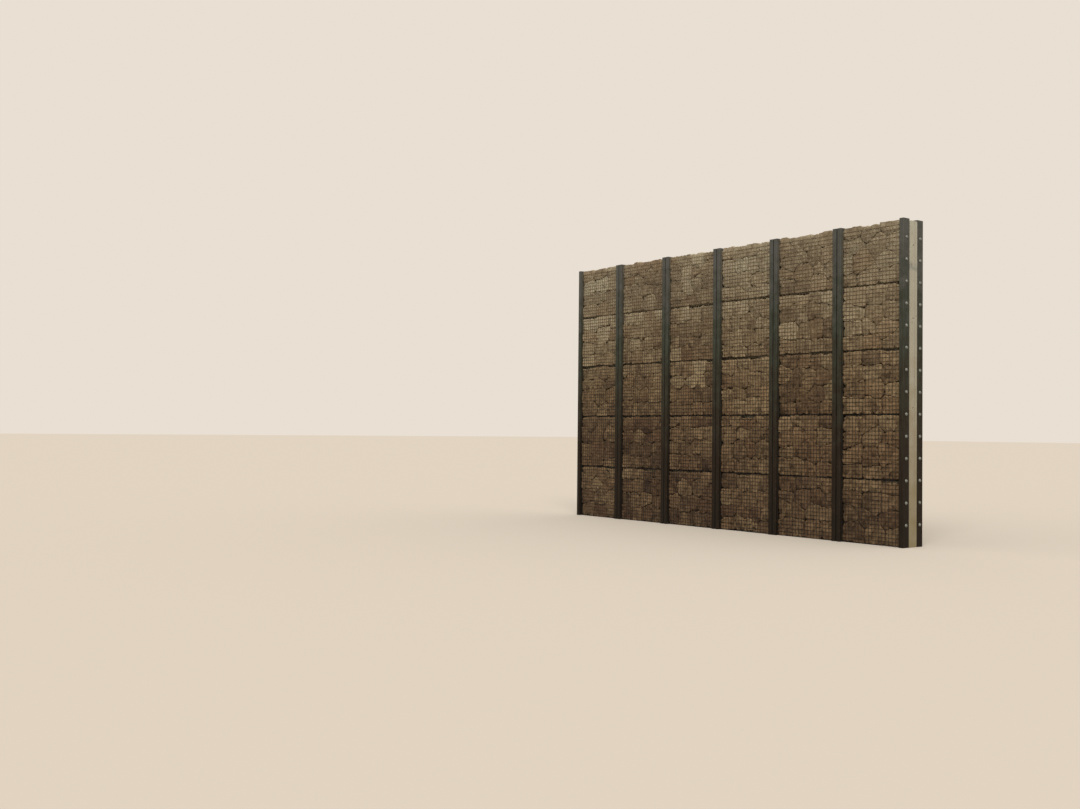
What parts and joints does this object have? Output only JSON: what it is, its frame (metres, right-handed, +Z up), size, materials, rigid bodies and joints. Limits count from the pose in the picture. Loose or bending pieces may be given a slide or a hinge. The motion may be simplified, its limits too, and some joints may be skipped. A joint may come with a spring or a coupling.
{
  "type": "gabion-faced boundary wall",
  "caption": "Straight run of boundary wall: concrete core faced both sides with stone-filled wire mesh baskets stacked between steel tube posts.",
  "frame": {"origin": "middle of the wall's base, at ground level", "axes": "+X along the wall to the right as seen from the front, -Y out of the front face, +Z up"},
  "size_m": [6.3, 0.4, 4.02],
  "materials": {
    "concrete": "cast concrete, shutter marked and dusty",
    "steel": "dark green-grey paint, weathered, rusting at edges",
    "stone": "rough split brown stone behind welded wire mesh"
  },
  "bodies": {
    "root": {"core_wall": "concrete", "front_post_1": "steel", "front_post_2": "steel", "front_post_3": "steel", "front_post_4": "steel", "front_post_5": "steel", "front_post_6": "steel", "front_post_7": "steel", "front_baskets_bay_1": "stone", "front_baskets_bay_2": "stone", "front_baskets_bay_3": "stone", "front_baskets_bay_4": "stone", "front_baskets_bay_5": "stone", "front_baskets_bay_6": "stone", "rear_post_1": "steel", "rear_post_2": "steel", "rear_post_3": "steel", "rear_post_4": "steel", "rear_post_5": "steel", "rear_post_6": "steel", "rear_post_7": "steel", "rear_baskets_bay_1": "stone", "rear_baskets_bay_2": "stone", "rear_baskets_bay_3": "stone", "rear_baskets_bay_4": "stone", "rear_baskets_bay_5": "stone", "rear_baskets_bay_6": "stone"}
  },
  "joints": []
}
